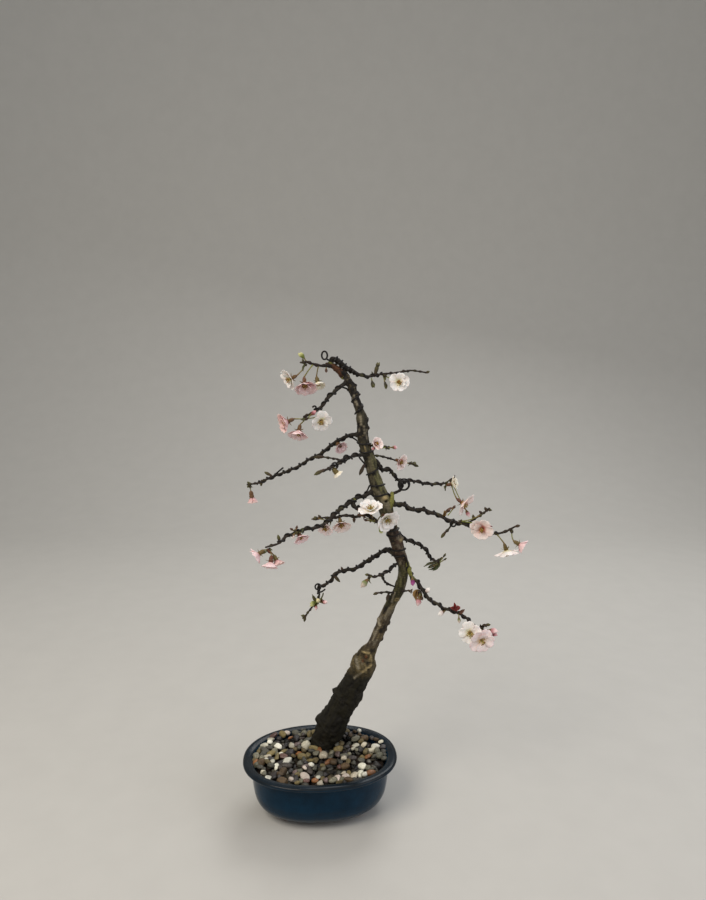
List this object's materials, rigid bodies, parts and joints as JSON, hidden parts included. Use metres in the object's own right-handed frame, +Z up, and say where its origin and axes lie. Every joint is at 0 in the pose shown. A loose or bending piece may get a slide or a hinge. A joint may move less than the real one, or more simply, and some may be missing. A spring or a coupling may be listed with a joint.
{
  "type": "cherry blossom bonsai",
  "caption": "Leaning cherry bonsai with wired branches and pale pink blossoms, in an oval glazed pot topped with pebbles.",
  "frame": {"origin": "on the floor under the middle of the bounding box", "axes": "+Z up the tree, +X along the pot towards the side that the trunk leans to, +Y to the back"},
  "size_m": [0.2666, 0.1294, 0.4454],
  "materials": {
    "glaze": "blue-grey glossy glaze on stoneware",
    "screen": "matt moulded mesh",
    "soil": "dark moist grit and humus",
    "gravel": "mixed washed pebbles",
    "bark": "dark cherry bark with rings",
    "wire": "dark brown anodised training wire",
    "stalk": "green flower stalks with reddish calyxes",
    "petal": "pale pink petals",
    "opening_petal": "deeper pink half-open petals in a dark calyx",
    "young_leaf": "bronze-green young leaves and bud scales"
  },
  "bodies": {
    "root": {"pot": "glaze", "drain_screen_left": "screen", "drain_screen_right": "screen", "soil": "soil", "gravel": "gravel", "tree": "bark", "blossom_crown_left_1": "petal", "blossom_crown_left_2": "petal", "blossom_crown_left_3": "petal", "blossom_crown_right_1": "petal", "blossom_left_middle_fork_1": "petal", "blossom_left_middle_fork_2": "petal", "blossom_left_middle_low_1": "petal", "blossom_left_middle_tip_1": "petal", "blossom_left_middle_tip_2": "petal", "blossom_left_middle_tip_3": "petal", "blossom_left_middle_twig_1": "petal", "blossom_left_middle_twig_2": "petal", "blossom_left_upper_1": "petal", "blossom_left_upper_2": "petal", "blossom_left_upper_3": "petal", "blossom_right_high_1": "petal", "blossom_right_low_tip_1": "petal", "blossom_right_low_tip_2": "petal", "blossom_right_middle_1": "petal", "blossom_right_middle_tip_1": "petal", "blossom_right_middle_tip_2": "petal", "blossom_right_twig_1": "petal", "blossom_right_upper_1": "petal", "blossom_right_upper_2": "petal", "leaf_tuft_left_low": "young_leaf", "leaf_tuft_left_small": "young_leaf", "leaf_tuft_right_short": "young_leaf", "opening_flower_left_long": "opening_petal", "opening_flower_left_long_tip": "opening_petal", "opening_flower_left_short": "opening_petal", "stalks_crown_left": "stalk", "stalks_crown_right": "stalk", "stalks_left_middle_fork": "stalk", "stalks_left_middle_low": "stalk", "stalks_left_middle_tip": "stalk", "stalks_left_middle_twig": "stalk", "stalks_left_upper": "stalk", "stalks_right_high": "stalk", "stalks_right_low": "stalk", "stalks_right_low_tip": "stalk", "stalks_right_middle": "stalk", "stalks_right_middle_tip": "stalk", "stalks_right_twig": "stalk", "stalks_right_upper": "stalk", "wire_crown_right": "wire", "wire_leader": "wire", "wire_left_long_right_upper": "wire", "wire_left_low_right_low": "wire", "wire_left_middle_fork": "wire", "wire_left_middle_right_middle": "wire", "wire_left_short": "wire", "wire_left_small": "wire", "wire_left_upper": "wire", "wire_right_short": "wire"}
  },
  "joints": []
}
